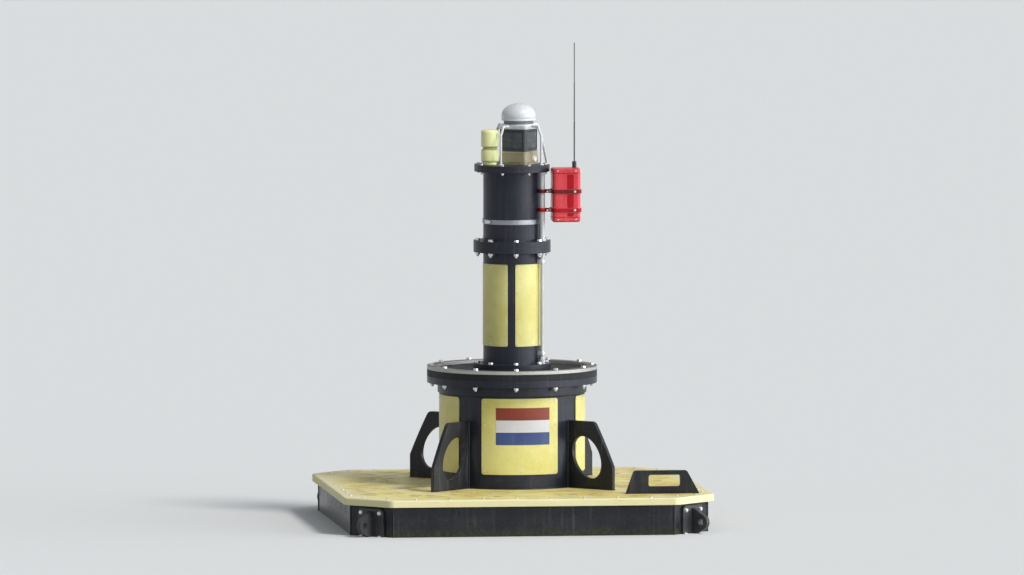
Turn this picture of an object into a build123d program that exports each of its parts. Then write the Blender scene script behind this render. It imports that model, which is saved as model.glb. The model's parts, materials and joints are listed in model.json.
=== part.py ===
from build123d import *
from math import cos, degrees, radians, sin, sqrt
import os

# Moored buoy for a wave energy site: a flat square float with cut corners, a bolted drum,
# a two-piece mast with a lantern head, and an equipment housing on a side pole.
# Millimetres. Origin at the centre of the flat bottom, +Z up, the front face looks along -Y.
# A bearing is an angle from the front, turning towards the right side (+X).
# A rise is a height above the piece that carries the thing, a gap or an inset a distance from
# the piece or the edge beside it.

# Float
hull_across = 2480.0
hull_corner_cut = 264.0
hull_depth = 570.0
bilge_cut = 70.0
hull_edge_round = 14.0
well_floor = 60.0
well_clearance = 1.0
deck_overhang = 45.0
deck_thickness = 50.0
deck_edge_round = 10.0

# Clearance between a tube and the ring, collar or strap that goes round it
fit = 0.3

# Drum: its rise is above the deck, and its flange stands out from the pipe by a width
drum_diameter = 1000.0
drum_wall = 60.0
drum_rise = 755.0
drum_flange_width = 90.0
drum_flange_thickness = 45.0
drum_neck_wall = 17.0
drum_neck_height = 66.0
drum_cover_thickness = 48.0
drum_ring_width = 70.0
drum_ring_thickness = 22.0
drum_bolt_edge = 36.0
drum_bolt_count = 12
drum_bolt_turn = -4.0
bolt_hole = 22.0

# Yellow panels on the drum: the widths are those of the flat sheets
drum_panel_width = 556.0
drum_side_panel_width = 636.0
drum_panel_bottom_gap = 102.0
drum_panel_top_gap = 14.0
drum_panel_thickness = 6.0
drum_panel_corner = 18.0

# Gusset plates between drum and deck: widths are from the side of the drum
gusset_thickness = 28.0
gusset_height = 468.0
gusset_top_width = 228.0
gusset_shoulder_width = 314.0
gusset_shoulder_height = 316.0
gusset_foot_width = 392.0
gusset_heel_height = 160.0
gusset_top_round = 40.0
gusset_hole_inset = 167.0
gusset_hole_height = 218.0
gusset_hole_length = 315.0
gusset_hole_width = 222.0
gusset_hole_tilt = 33.0

# Tow bracket on the deck: its middle is inset from the right and front edges
tow_side_inset = 351.0
tow_front_inset = 365.0
tow_base = 512.0
tow_top_left_inset = 56.0
tow_top_right_inset = 88.0
tow_height = 160.0
tow_thickness = 32.0
tow_corner_round = 22.0
tow_slot_width = 220.0
tow_slot_height = 80.0
tow_slot_centre_height = 90.0
tow_slot_shift = 12.0
tow_slot_round = 14.0

# Mooring lugs on the cut corners, with their holes below the hull's top edge by the drop
lug_drop = 130.0
lug_pad_width = 220.0
lug_pad_height = 230.0
lug_pad_thickness = 18.0
lug_pad_corner = 32.0
lug_thickness = 32.0
lug_root_height = 190.0
lug_hole_reach = 78.0
lug_eye_radius = 54.0
lug_hole = 46.0

# Mast
mast_diameter = 400.0
mast_wall = 24.0
mast_lower_length = 853.0
mast_upper_length = 544.0
mast_flange_width = 68.0
mast_flange_thickness = 40.0
mast_bolt_edge = 28.0
mast_bolt_count = 8
top_plate_width = 62.0
top_plate_thickness = 24.0
top_flange_thickness = 24.0
band_rise = 118.0
band_height = 32.0
band_thickness = 5.0

# Yellow panels on the lower mast
mast_panel_width = 265.0
mast_panel_bearing = 37.0
mast_panel_bottom_gap = 125.0
mast_panel_top_gap = 78.0
mast_panel_thickness = 4.0
mast_panel_corner = 12.0

# Side pole, cable conduit and equipment housing
pole_bearing = 58.0
pole_standoff = 30.0
pole_diameter = 40.0
pole_foot_diameter = 58.0
pole_foot_thickness = 14.0
conduit_diameter = 25.0
conduit_gland_diameter = 44.0
conduit_gland_height = 34.0
clip_height = 26.0
clip_wall = 7.0
clip_lower_gap = 38.0
clip_upper_gap = 6.0
housing_gap = 46.0
housing_width = 196.0
housing_depth = 150.0
housing_rise = 134.0
housing_height = 374.0
housing_edge_round = 26.0
housing_edge_cut = 9.0
strap_lower_rise = 70.0
strap_upper_rise = 200.0
strap_height = 26.0
strap_thickness = 7.0
strap_arm_thickness = 12.0
pole_clamp_wall = 8.0

# Whip antenna on the housing
whip_edge_inset = 37.0
whip_base_diameter = 30.0
whip_base_height = 44.0
whip_root_diameter = 9.0
whip_tip_diameter = 6.0
whip_length = 824.0
whip_step_count = 3

# Lantern head
lantern_x = 46.0
lantern_turn = -33.0
lantern_base_width = 214.0
lantern_base_height = 92.0
lantern_foot_height = 20.0
lantern_body_width = 204.0
lantern_body_height = 156.0
lantern_hood_width = 216.0
lantern_hood_height = 32.0
lantern_corner_round = 20.0
hood_edge_cut = 10.0
solar_panel_margin = 14.0
solar_panel_recess = 3.0
lantern_seam_diameter = 206.0
lantern_seam_height = 24.0
dome_diameter = 240.0
dome_skirt = 34.0
dome_height = 120.0
dome_zone_count = 6

# Guard round the lantern: bent legs and a collar on the hood, its middle below the hood's top
guard_rod = 17.0
guard_collar_wall = 6.0
guard_collar_drop = 14.0
guard_leg_radius = 200.0
guard_bend_radius = 171.0
guard_shoulder_drop = 62.0
guard_foot_diameter = 36.0
guard_foot_thickness = 8.0
brace_bearing = 83.0
brace_foot_inset = 2.0

# Two-lobed signal unit beside the lantern: its side is inset from the plate's left edge
signal_edge_inset = 41.0
signal_y = -40.0
signal_diameter = 122.0
signal_foot_diameter = 98.0
signal_foot_height = 16.0
signal_lower_height = 96.0
signal_waist = 5.0
signal_lobe_round = 20.0
signal_zone_count = 2
signal_top_gap = 4.0

# Heavy masses inside the drum
ballast_gap = 20.0
ballast_height = 230.0
generator_width = 460.0
generator_height = 420.0

# Widths that follow from the sizes above
drum_radius = drum_diameter / 2
drum_bore = drum_diameter - 2 * drum_wall
drum_flange_diameter = drum_diameter + 2 * drum_flange_width
drum_neck_diameter = drum_diameter + 2 * drum_neck_wall
drum_ring_bore = drum_flange_diameter - 2 * drum_ring_width
drum_bolt_circle = drum_flange_diameter - 2 * drum_bolt_edge
gusset_top_reach = drum_radius + gusset_top_width
gusset_shoulder_reach = drum_radius + gusset_shoulder_width
gusset_reach = drum_radius + gusset_foot_width
gusset_hole_reach = drum_radius + gusset_hole_inset
mast_flange_diameter = mast_diameter + 2 * mast_flange_width
mast_bolt_circle = mast_flange_diameter - 2 * mast_bolt_edge
top_plate_diameter = mast_diameter + 2 * top_plate_width
brace_foot_radius = top_plate_diameter / 2 - guard_foot_diameter / 2 - brace_foot_inset
signal_x = -(top_plate_diameter / 2 - signal_edge_inset - signal_diameter / 2)
pole_radius_out = mast_diameter / 2 + pole_standoff
tow_x = hull_across / 2 + deck_overhang - tow_side_inset
tow_y = tow_front_inset - deck_overhang - hull_across / 2
ballast_diameter = drum_bore - 2 * ballast_gap

# Levels that follow from the sizes above
lug_level = hull_depth - lug_drop
deck_level = hull_depth + deck_thickness
drum_top = deck_level + drum_rise
drum_flange_level = drum_top - drum_flange_thickness
drum_neck_level = drum_flange_level - drum_neck_height
drum_panel_bottom = deck_level + drum_panel_bottom_gap
drum_panel_top = drum_neck_level - drum_panel_top_gap
cover_level = drum_top + drum_cover_thickness
base_flange_top = cover_level + mast_flange_thickness
mast_flange_joint = cover_level + mast_lower_length
lower_flange_level = mast_flange_joint - mast_flange_thickness
upper_flange_top = mast_flange_joint + mast_flange_thickness
mast_panel_bottom = base_flange_top + mast_panel_bottom_gap
mast_panel_top = lower_flange_level - mast_panel_top_gap
clip_lower_level = mast_panel_bottom - clip_lower_gap - clip_height
clip_upper_level = mast_panel_top + clip_upper_gap
mast_top = mast_flange_joint + mast_upper_length
band_level = upper_flange_top + band_rise
top_level = mast_top + top_plate_thickness
housing_bottom = upper_flange_top + housing_rise
housing_top = housing_bottom + housing_height
lantern_body_level = top_level + lantern_base_height
hood_level = lantern_body_level + lantern_body_height
seam_level = hood_level + lantern_hood_height
dome_level = seam_level + lantern_seam_height
guard_level = seam_level - guard_collar_drop
guard_shoulder_level = guard_level - guard_shoulder_drop

UP = (Align.CENTER, Align.CENTER, Align.MIN)


def at_bearing(bearing):
    """Turn that carries the +X direction to a bearing."""
    return Rot(0, 0, bearing - 90)


def disc(diameter, height, level):
    return Pos(0, 0, level) * Cylinder(diameter / 2, height, align=UP)


def ring(outer, inner, height, level):
    return disc(outer, height, level) - disc(inner, height, level)


def bolt_circle(circle, count, diameter, height, level, turn=0):
    """Drill bodies, the first one at the front or turned from it by an angle."""
    drill = Pos(circle / 2, 0, level) * Cylinder(diameter / 2, height, align=UP)
    return [at_bearing(turn + step * 360 / count) * drill for step in range(count)]


def cut_square(margin, corner_round):
    """Outline of the float grown by a margin: a square with its corners cut off at 45 degrees."""
    across = hull_across + 2 * margin
    corner_cut = hull_corner_cut + (2 - sqrt(2)) * margin
    outline = chamfer(Rectangle(across, across).vertices(), corner_cut)
    return fillet(outline.vertices(), corner_round)


def rounded_post(width, depth, height, level, corner):
    return Pos(0, 0, level) * extrude(RectangleRounded(width, depth, corner), height)


def wrapped_panel(diameter, thickness, bottom, top, width, corner):
    """Sheet bent round a tube, centred on bearing 0, with rounded corners."""
    middle = diameter / 2 + fit + thickness / 2
    arc = degrees(width / middle)
    section = Pos(middle, 0, (bottom + top) / 2) * Rot(90, 0, 0) * Rectangle(thickness, top - bottom)
    sheet = revolve(Rot(0, 0, -arc / 2) * section, Axis.Z, arc)
    ends = sheet.edges().filter_by(GeomType.LINE).filter_by(Axis.Z, reverse=True)
    return at_bearing(0) * fillet(ends, corner)


def zoned_quarter(centre, level, reach, rise, start, zones):
    """Points on a quarter ellipse from a start angle, the edges of its conical zones."""
    turns = [radians(start + 90 * step / zones) for step in range(zones + 1)]
    return [(centre + reach * cos(turn), level + rise * sin(turn)) for turn in turns]


def turned(outline):
    """Solid turned about the Z axis from (radius, level) points."""
    return revolve(Rot(90, 0, 0) * make_face(Polyline(*outline, close=True)), Axis.Z)


parts = {}

# Float: a foam-filled block with a round well for the drum, and the deck over it
side_outline = cut_square(0, hull_edge_round)
hull = Pos(0, 0, bilge_cut) * extrude(side_outline, hull_depth - bilge_cut)
hull += loft([cut_square(-bilge_cut, hull_edge_round), Pos(0, 0, bilge_cut) * side_outline])
well_diameter = drum_diameter + 2 * well_clearance
hull -= disc(well_diameter, hull_depth, well_floor)
parts["hull_block"] = hull

deck_outline = cut_square(deck_overhang, hull_edge_round + deck_overhang)
deck = Pos(0, 0, hull_depth) * extrude(deck_outline, deck_thickness)
deck = fillet(deck.faces().sort_by(Axis.Z)[-1].edges(), deck_edge_round)
deck -= disc(well_diameter, deck_thickness, hull_depth)
parts["deck_plate"] = deck

# Drum: a pipe that stands in the well, with a flange, a cover and a steel backing ring
parts["drum_tube"] = ring(drum_diameter, drum_bore, drum_top - well_floor, well_floor)

around_drum = drum_diameter + 2 * fit
neck = ring(drum_neck_diameter, around_drum, drum_neck_height, drum_neck_level)
flange = ring(drum_flange_diameter, around_drum, drum_flange_thickness, drum_flange_level)
flange -= bolt_circle(
    drum_bolt_circle, drum_bolt_count, bolt_hole, drum_flange_thickness, drum_flange_level, drum_bolt_turn)
parts["drum_flange"] = flange + neck

cover = disc(drum_flange_diameter, drum_cover_thickness, drum_top)
cover -= bolt_circle(
    drum_bolt_circle, drum_bolt_count, bolt_hole, drum_cover_thickness, drum_top, drum_bolt_turn)
cover -= bolt_circle(mast_bolt_circle, mast_bolt_count, bolt_hole, drum_cover_thickness, drum_top)
parts["drum_cover"] = cover

backing = ring(drum_flange_diameter, drum_ring_bore, drum_ring_thickness, cover_level)
backing -= bolt_circle(
    drum_bolt_circle, drum_bolt_count, bolt_hole, drum_ring_thickness, cover_level, drum_bolt_turn)
parts["drum_backing_ring"] = backing

# Name of the side, its bearing and the width of its sheet on the drum
sides = (
    ("front", 0, drum_panel_width), ("right", 90, drum_side_panel_width),
    ("back", 180, drum_panel_width), ("left", 270, drum_side_panel_width))
mast_panel = wrapped_panel(
    mast_diameter, mast_panel_thickness, mast_panel_bottom, mast_panel_top,
    mast_panel_width, mast_panel_corner)
for side, bearing, sheet_width in sides:
    parts[f"drum_panel_{side}"] = Rot(0, 0, bearing) * wrapped_panel(
        drum_diameter, drum_panel_thickness, drum_panel_bottom, drum_panel_top,
        sheet_width, drum_panel_corner)
    parts[f"mast_panel_{side}"] = Rot(0, 0, bearing + mast_panel_bearing) * mast_panel

# Gusset: flat top, bowed outer edge, upright heel and a slanted oval hole
gusset_foot = drum_radius + fit
gusset_top_level = deck_level + gusset_height
gusset_bow = ThreePointArc(
    (gusset_top_reach, gusset_top_level),
    (gusset_shoulder_reach, deck_level + gusset_shoulder_height),
    (gusset_reach, deck_level + gusset_heel_height))
gusset_rest = Polyline(
    (gusset_reach, deck_level + gusset_heel_height),
    (gusset_reach, deck_level),
    (gusset_foot, deck_level),
    (gusset_foot, gusset_top_level),
    (gusset_top_reach, gusset_top_level))
gusset_outline = make_face([gusset_bow, *gusset_rest.edges()])
top_corner = gusset_outline.vertices().sort_by_distance((gusset_top_reach, gusset_top_level))[0]
gusset_outline = fillet(top_corner, gusset_top_round)
gusset_hole = Pos(gusset_hole_reach, deck_level + gusset_hole_height)
gusset_hole *= Rot(0, 0, gusset_hole_tilt)
gusset_hole *= Ellipse(gusset_hole_width / 2, gusset_hole_length / 2)
gusset_plate = extrude(gusset_outline - gusset_hole, gusset_thickness / 2, both=True)
gusset_plate = Rot(90, 0, 0) * gusset_plate

# Mooring lug: a doubler pad on the cut corner and an upright eye plate
corner_face = (hull_across - hull_corner_cut) / sqrt(2)
pad_face = corner_face + lug_pad_thickness
pad = Pos(corner_face, 0, lug_level) * Box(
    lug_pad_thickness, lug_pad_width, lug_pad_height,
    align=(Align.MIN, Align.CENTER, Align.CENTER))
pad = fillet(pad.edges().filter_by(Axis.X), lug_pad_corner)
eye = Circle(lug_eye_radius)
root = Pos(-lug_hole_reach, 0) * Rectangle(lug_pad_thickness / 2, lug_root_height, align=(Align.MIN, Align.CENTER))
eye_outline = make_hull([*eye.edges(), *root.edges()]) - Circle(lug_hole / 2)
eye_plate = Rot(90, 0, 0) * extrude(eye_outline, lug_thickness / 2, both=True)
lug = pad + Pos(pad_face + lug_hole_reach, 0, lug_level) * eye_plate

# Name of the corner and its bearing
corners = (("front_right", 45), ("back_right", 135), ("back_left", 225), ("front_left", 315))
for corner, bearing in corners:
    parts[f"gusset_{corner}"] = at_bearing(bearing) * gusset_plate
    parts[f"mooring_lug_{corner}"] = at_bearing(bearing) * lug

# Tow bracket: an upright plate with sloping ends and a slot through it
tow_left = -tow_base / 2
tow_right = tow_base / 2
tow_corners = (
    (tow_left, 0), (tow_right, 0),
    (tow_right - tow_top_right_inset, tow_height), (tow_left + tow_top_left_inset, tow_height))
tow_outline = make_face(Polyline(*tow_corners, close=True))
tow_outline = fillet(tow_outline.vertices().group_by(Axis.Y)[-1], tow_corner_round)
tow_slot = Pos(tow_slot_shift, tow_slot_centre_height) * RectangleRounded(
    tow_slot_width, tow_slot_height, tow_slot_round)
tow_plate = Rot(90, 0, 0) * extrude(tow_outline - tow_slot, tow_thickness / 2, both=True)
parts["tow_bracket"] = Pos(tow_x, tow_y, deck_level) * tow_plate

# Mast: two pipes with slip-on flanges
mast_bore = mast_diameter - 2 * mast_wall
around_mast = mast_diameter + 2 * fit
parts["mast_tube_lower"] = ring(mast_diameter, mast_bore, mast_flange_joint - cover_level, cover_level)
parts["mast_tube_upper"] = ring(mast_diameter, mast_bore, mast_top - mast_flange_joint, mast_flange_joint)
mast_flanges = (
    ("mast_base_flange", cover_level),
    ("mast_flange_lower", lower_flange_level),
    ("mast_flange_upper", mast_flange_joint))
for name, level in mast_flanges:
    collar = ring(mast_flange_diameter, around_mast, mast_flange_thickness, level)
    collar -= bolt_circle(mast_bolt_circle, mast_bolt_count, bolt_hole, mast_flange_thickness, level)
    parts[name] = collar
parts["mast_top_flange"] = ring(
    top_plate_diameter, around_mast, top_flange_thickness, mast_top - top_flange_thickness)
parts["mast_top_plate"] = disc(top_plate_diameter, top_plate_thickness, mast_top)
parts["mast_band"] = ring(around_mast + 2 * band_thickness, around_mast, band_height, band_level)

# Side pole between the mast flange and the top flange, and the conduit below it
pole_x = pole_radius_out * sin(radians(pole_bearing))
pole_y = -pole_radius_out * cos(radians(pole_bearing))
pole_place = Pos(pole_x, pole_y, 0)
pole_top = mast_top - top_flange_thickness
pole = disc(pole_diameter, pole_top - upper_flange_top, upper_flange_top)
pole += disc(pole_foot_diameter, pole_foot_thickness, upper_flange_top)
pole += disc(pole_foot_diameter, pole_foot_thickness, pole_top - pole_foot_thickness)
parts["side_pole"] = pole_place * pole

conduit = disc(conduit_diameter, lower_flange_level - base_flange_top, base_flange_top)
conduit += disc(conduit_gland_diameter, conduit_gland_height, base_flange_top)
conduit += disc(conduit_gland_diameter, conduit_gland_height, lower_flange_level - conduit_gland_height)
parts["cable_conduit"] = pole_place * conduit

clip_outer = conduit_diameter + 2 * fit + 2 * clip_wall
clip_tail = Box(
    pole_radius_out - mast_diameter / 2 - fit, clip_outer, clip_height,
    align=(Align.MAX, Align.CENTER, Align.MIN))
clip = (Cylinder(clip_outer / 2, clip_height, align=UP) + clip_tail)
clip -= Cylinder(conduit_diameter / 2 + fit, clip_height, align=UP)
clip_levels = (clip_lower_level, clip_upper_level)
clips = [at_bearing(pole_bearing) * Pos(pole_radius_out, 0, level) * clip for level in clip_levels]
parts["conduit_clips"] = Compound(clips)

# Equipment housing beside the pole, held by two straps that clamp the pole
housing_x = pole_x + pole_diameter / 2 + housing_gap + housing_width / 2
housing = Pos(0, 0, housing_bottom) * extrude(
    RectangleRounded(housing_width, housing_depth, housing_edge_round), housing_height)
for end in (-1, 0):
    housing = chamfer(housing.faces().sort_by(Axis.Z)[end].edges(), housing_edge_cut)
housing_place = Pos(housing_x, pole_y, 0)
parts["equipment_housing"] = housing_place * housing

strap_width = housing_width + 2 * fit
strap_depth = housing_depth + 2 * fit
strap = RectangleRounded(
    strap_width + 2 * strap_thickness, strap_depth + 2 * strap_thickness,
    housing_edge_round + fit + strap_thickness)
strap -= RectangleRounded(strap_width, strap_depth, housing_edge_round + fit)
pole_offset = pole_x - housing_x
clamp = Pos(pole_offset, 0) * Circle(pole_diameter / 2 + fit + pole_clamp_wall)
arm_length = -pole_offset - housing_width / 2 - fit
arm = Pos(pole_offset, 0) * Rectangle(
    arm_length, strap_arm_thickness, align=(Align.MIN, Align.CENTER))
bracket_outline = strap + clamp + arm - Pos(pole_offset, 0) * Circle(pole_diameter / 2 + fit)
bracket = extrude(bracket_outline, strap_height)
for name, rise in (("lower", strap_lower_rise), ("upper", strap_upper_rise)):
    parts[f"housing_strap_{name}"] = housing_place * Pos(0, 0, housing_bottom + rise) * bracket

# Whip antenna: a ferrule and a rod in steps that grow thinner, near the housing's outer edge
whip_x = housing_x + housing_width / 2 - whip_edge_inset
whip = disc(whip_base_diameter, whip_base_height, housing_top)
step_length = whip_length / whip_step_count
step_taper = (whip_root_diameter - whip_tip_diameter) / (whip_step_count - 1)
for step in range(whip_step_count):
    step_level = housing_top + whip_base_height + step * step_length
    whip += disc(whip_root_diameter - step * step_taper, step_length, step_level)
parts["whip_antenna"] = Pos(whip_x, pole_y, 0) * whip

# Lantern: square base, four flat solar panels, a hood, and a round dome on a seam ring
lantern_place = Pos(lantern_x, 0, 0) * Rot(0, 0, lantern_turn)
foot = rounded_post(
    lantern_base_width, lantern_base_width, lantern_foot_height, top_level, lantern_corner_round)
shoulder = loft([
    Pos(0, 0, top_level + lantern_foot_height) * RectangleRounded(
        lantern_base_width, lantern_base_width, lantern_corner_round),
    Pos(0, 0, lantern_body_level) * RectangleRounded(
        lantern_body_width, lantern_body_width, lantern_corner_round)])
parts["lantern_base"] = lantern_place * (foot + shoulder)

body = rounded_post(
    lantern_body_width, lantern_body_width, lantern_body_height, lantern_body_level, lantern_corner_round)
pocket_width = lantern_body_width - 2 * lantern_corner_round
pocket_height = lantern_body_height - 2 * solar_panel_margin
pocket = Pos(lantern_body_width / 2, 0, lantern_body_level + lantern_body_height / 2) * Box(
    2 * solar_panel_recess, pocket_width, pocket_height)
body -= [Rot(0, 0, turn) * pocket for turn in range(0, 360, 90)]
parts["lantern_solar_body"] = lantern_place * body

hood = rounded_post(
    lantern_hood_width, lantern_hood_width, lantern_hood_height, hood_level, lantern_corner_round)
hood = chamfer(hood.faces().sort_by(Axis.Z)[-1].edges(), hood_edge_cut)
parts["lantern_hood"] = lantern_place * hood
parts["lantern_seam_ring"] = lantern_place * disc(lantern_seam_diameter, lantern_seam_height, seam_level)

dome_radius = dome_diameter / 2
dome_cap = zoned_quarter(
    0, dome_level + dome_skirt, dome_radius, dome_height - dome_skirt, 0, dome_zone_count)
dome_outline = [(0, dome_level), (dome_radius, dome_level), *dome_cap[:-1], (0, dome_level + dome_height)]
parts["lantern_dome"] = lantern_place * turned(dome_outline)

# Guard: a collar that follows the hood, four bent legs on it, and one slanting brace on the right
collar_bore = lantern_hood_width + 2 * fit
collar_width = collar_bore + 2 * guard_collar_wall
collar_corner = lantern_corner_round + fit
collar_level = guard_level - guard_rod / 2
collar = rounded_post(
    collar_width, collar_width, guard_rod, collar_level, collar_corner + guard_collar_wall)
collar -= rounded_post(collar_bore, collar_bore, guard_rod, collar_level, collar_corner)
leg_path = Polyline(
    (guard_leg_radius, 0, top_level),
    (guard_leg_radius, 0, guard_shoulder_level),
    (guard_bend_radius, 0, guard_level),
    (lantern_hood_width / 2, 0, guard_level))
leg = sweep(
    Pos(guard_leg_radius, 0, top_level) * Circle(guard_rod / 2), leg_path, transition=Transition.RIGHT)
leg += Pos(guard_leg_radius, 0, 0) * disc(guard_foot_diameter, guard_foot_thickness, top_level)
guard = Pos(lantern_x, 0, 0) * Compound([at_bearing(bearing) * leg for corner, bearing in corners])
guard -= lantern_place * rounded_post(
    collar_bore, collar_bore, 2 * guard_rod, guard_level - guard_rod, collar_corner)
guard += lantern_place * collar
front_leg = Vector(guard_leg_radius, 0, 0).rotate(Axis.Z, corners[0][1] - 90)
brace_start = Vector(lantern_x + front_leg.X, front_leg.Y, guard_shoulder_level)
brace_foot = Vector(brace_foot_radius, 0, 0).rotate(Axis.Z, brace_bearing - 90)
brace_end = brace_foot + Vector(0, 0, top_level + guard_foot_thickness)
brace_run = brace_end - brace_start
guard += Plane(origin=brace_start, z_dir=brace_run) * Cylinder(guard_rod / 2, brace_run.length, align=UP)
guard += Pos(brace_foot.X, brace_foot.Y, 0) * disc(guard_foot_diameter, guard_foot_thickness, top_level)
parts["lantern_guard"] = guard

# Signal unit: a foot and two rounded lobes with a waist between them, its top below the hood
lower_lobe_level = top_level + signal_foot_height
lower_lobe_top = lower_lobe_level + signal_lower_height
signal_top = hood_level - signal_top_gap
signal_unit = disc(signal_foot_diameter, lower_lobe_top + 2 * signal_waist - top_level, top_level)
lobe_core = signal_diameter / 2 - signal_lobe_round
signal_lobes = (
    (lower_lobe_level, lower_lobe_top),
    (lower_lobe_top + signal_waist, signal_top))
for lobe_level, lobe_top in signal_lobes:
    lower_edge = zoned_quarter(
        lobe_core, lobe_level + signal_lobe_round, signal_lobe_round, signal_lobe_round,
        -90, signal_zone_count)
    upper_edge = zoned_quarter(
        lobe_core, lobe_top - signal_lobe_round, signal_lobe_round, signal_lobe_round,
        0, signal_zone_count)
    signal_unit += turned([(0, lobe_level), *lower_edge, *upper_edge, (0, lobe_top)])
parts["signal_unit"] = Pos(signal_x, signal_y, 0) * signal_unit

# Heavy masses inside the drum
parts["ballast_block"] = disc(ballast_diameter, ballast_height, well_floor)
generator_level = well_floor + ballast_height
parts["generator_block"] = Pos(0, 0, generator_level) * Box(
    generator_width, generator_width, generator_height, align=UP)

os.makedirs("parts", exist_ok=True)
for name, shape in parts.items():
    shape.label = name
    export_step(shape, f"parts/{name}.step")
print(len(parts), "parts written")
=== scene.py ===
import json
import math
import random

import bpy
from mathutils import Matrix, Vector, noise


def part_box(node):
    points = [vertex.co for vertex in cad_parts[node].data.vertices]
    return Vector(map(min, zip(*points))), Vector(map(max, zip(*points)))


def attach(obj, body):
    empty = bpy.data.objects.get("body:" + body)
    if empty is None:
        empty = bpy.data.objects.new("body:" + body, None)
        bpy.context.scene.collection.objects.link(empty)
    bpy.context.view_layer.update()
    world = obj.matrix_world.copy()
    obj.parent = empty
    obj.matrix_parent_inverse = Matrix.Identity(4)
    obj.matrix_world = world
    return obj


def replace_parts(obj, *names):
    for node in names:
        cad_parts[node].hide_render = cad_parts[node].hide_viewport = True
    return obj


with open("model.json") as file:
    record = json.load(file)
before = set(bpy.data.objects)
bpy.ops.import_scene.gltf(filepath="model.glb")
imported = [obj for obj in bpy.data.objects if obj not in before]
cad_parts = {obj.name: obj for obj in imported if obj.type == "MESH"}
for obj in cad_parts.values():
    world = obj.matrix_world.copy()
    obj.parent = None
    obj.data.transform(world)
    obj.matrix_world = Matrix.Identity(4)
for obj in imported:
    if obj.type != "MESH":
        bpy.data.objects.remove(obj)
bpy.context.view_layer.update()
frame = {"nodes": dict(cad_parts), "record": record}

nodes = frame["nodes"]
rng = random.Random(11)

# Metres, with the front towards -Y. A bearing is an angle in degrees from the front towards the right.
# The next five read the box of a CAD node, rounded to a hundredth of a millimetre.

def base_of(node):
    """Level of a CAD node's lowest point."""
    return round(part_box(node)[0].z, 5)


def top_of(node):
    return round(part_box(node)[1].z, 5)


def reach_of(node):
    """How far a CAD node goes to the right of the middle."""
    return round(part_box(node)[1].x, 5)


def middle_of(node):
    """The x and y of a CAD node's middle."""
    low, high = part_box(node)
    return [round((low[k] + high[k]) / 2, 5) for k in (0, 1)]


def half_of(node):
    """Half the width and half the depth of a CAD node."""
    low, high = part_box(node)
    return [round((high[k] - low[k]) / 2, 5) for k in (0, 1)]


# Float
WATERLINE = 0.360
HULL_HALF, HULL_CUT = reach_of("hull_block"), 0.264
DECK_HALF, DECK_CUT = reach_of("deck_plate"), 0.290
DECK_TOP = top_of("deck_plate")
CORNERS = (45, 135, 225, 315)
LUG_LEVEL = (base_of("mooring_lug_front_right") + top_of("mooring_lug_front_right")) / 2
LUG_PAD_THICK = 0.018
# From the middle of the float to the outer face of a lug's pad, which lies on a cut corner
LUG_PAD_FACE = round((2 * HULL_HALF - HULL_CUT) / math.sqrt(2) + LUG_PAD_THICK, 5)

# Drum and mast
DRUM_RADIUS, MAST_RADIUS = reach_of("drum_tube"), reach_of("mast_tube_lower")
DRUM_FLANGE_THICK = 0.045
DRUM_FLANGE_LOW = top_of("drum_flange") - DRUM_FLANGE_THICK
RING_TOP = top_of("drum_backing_ring")
BASE_FLANGE_TOP = top_of("mast_base_flange")
JOINT_LOW, JOINT_HIGH = base_of("mast_flange_lower"), top_of("mast_flange_upper")
PLATE_LOW, PLATE_TOP = base_of("mast_top_flange"), top_of("mast_top_plate")
BAND_LEVEL = (base_of("mast_band") + top_of("mast_band")) / 2
MAST_SHEETS_TURN = 37

# Lantern, signal unit, pole and equipment housing
LANTERN_X = middle_of("lantern_base")[0]
LANTERN_TURN = -33
SIGNAL_X, SIGNAL_Y = -0.160, -0.040
SIGNAL_RADIUS = 0.061
SIGNAL_WAIST = 0.1145
POLE_BEARING, POLE_RADIUS = 58, 0.230
HOUSING_X, HOUSING_Y = middle_of("equipment_housing")
HOUSING_HALF_WIDTH, HOUSING_HALF_DEPTH = half_of("equipment_housing")
HOUSING_LOW, HOUSING_TOP = base_of("equipment_housing"), top_of("equipment_housing")
SEAM_INSET = 0.034
HOUSING_SEAMS = (HOUSING_LOW + SEAM_INSET, HOUSING_TOP - SEAM_INSET)
STRAPS = [(base_of(node), top_of(node)) for node in ("housing_strap_lower", "housing_strap_upper")]
STRAP_LEVELS = [(low + high) / 2 for low, high in STRAPS]


# Places and turns

def at(x, y, z):
    return Matrix.Translation((x, y, z))


def turned(angle):
    return Matrix.Rotation(math.radians(angle), 4, "Z")


def toward(bearing, radius, level=0.0):
    a = math.radians(bearing)
    return Vector((radius * math.sin(a), -radius * math.cos(a), level))


def facing(bearing):
    """Rotation that carries +X to a bearing, keeping Z up."""
    return turned(bearing - 90)


# Turns that lay a bolt's own Z along -Z, +X, -Y and +Y
DOWN = Matrix.Rotation(math.pi, 4, "X")
OUTWARD = Matrix.Rotation(math.pi / 2, 4, "Y")
FORWARD = Matrix.Rotation(math.pi / 2, 4, "X")
BACKWARD = Matrix.Rotation(-math.pi / 2, 4, "X")
LANTERN = at(LANTERN_X, 0, 0) @ turned(LANTERN_TURN)
SIGNAL = at(SIGNAL_X, SIGNAL_Y, PLATE_TOP)


def cut_square(half, cut):
    """The eight corners of a square with cut corners, counterclockwise from the right side's front end."""
    near = half - cut
    return [(half, -near), (half, near), (near, half), (-near, half),
            (-half, near), (-half, -near), (-near, -half), (near, -half)]


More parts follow.
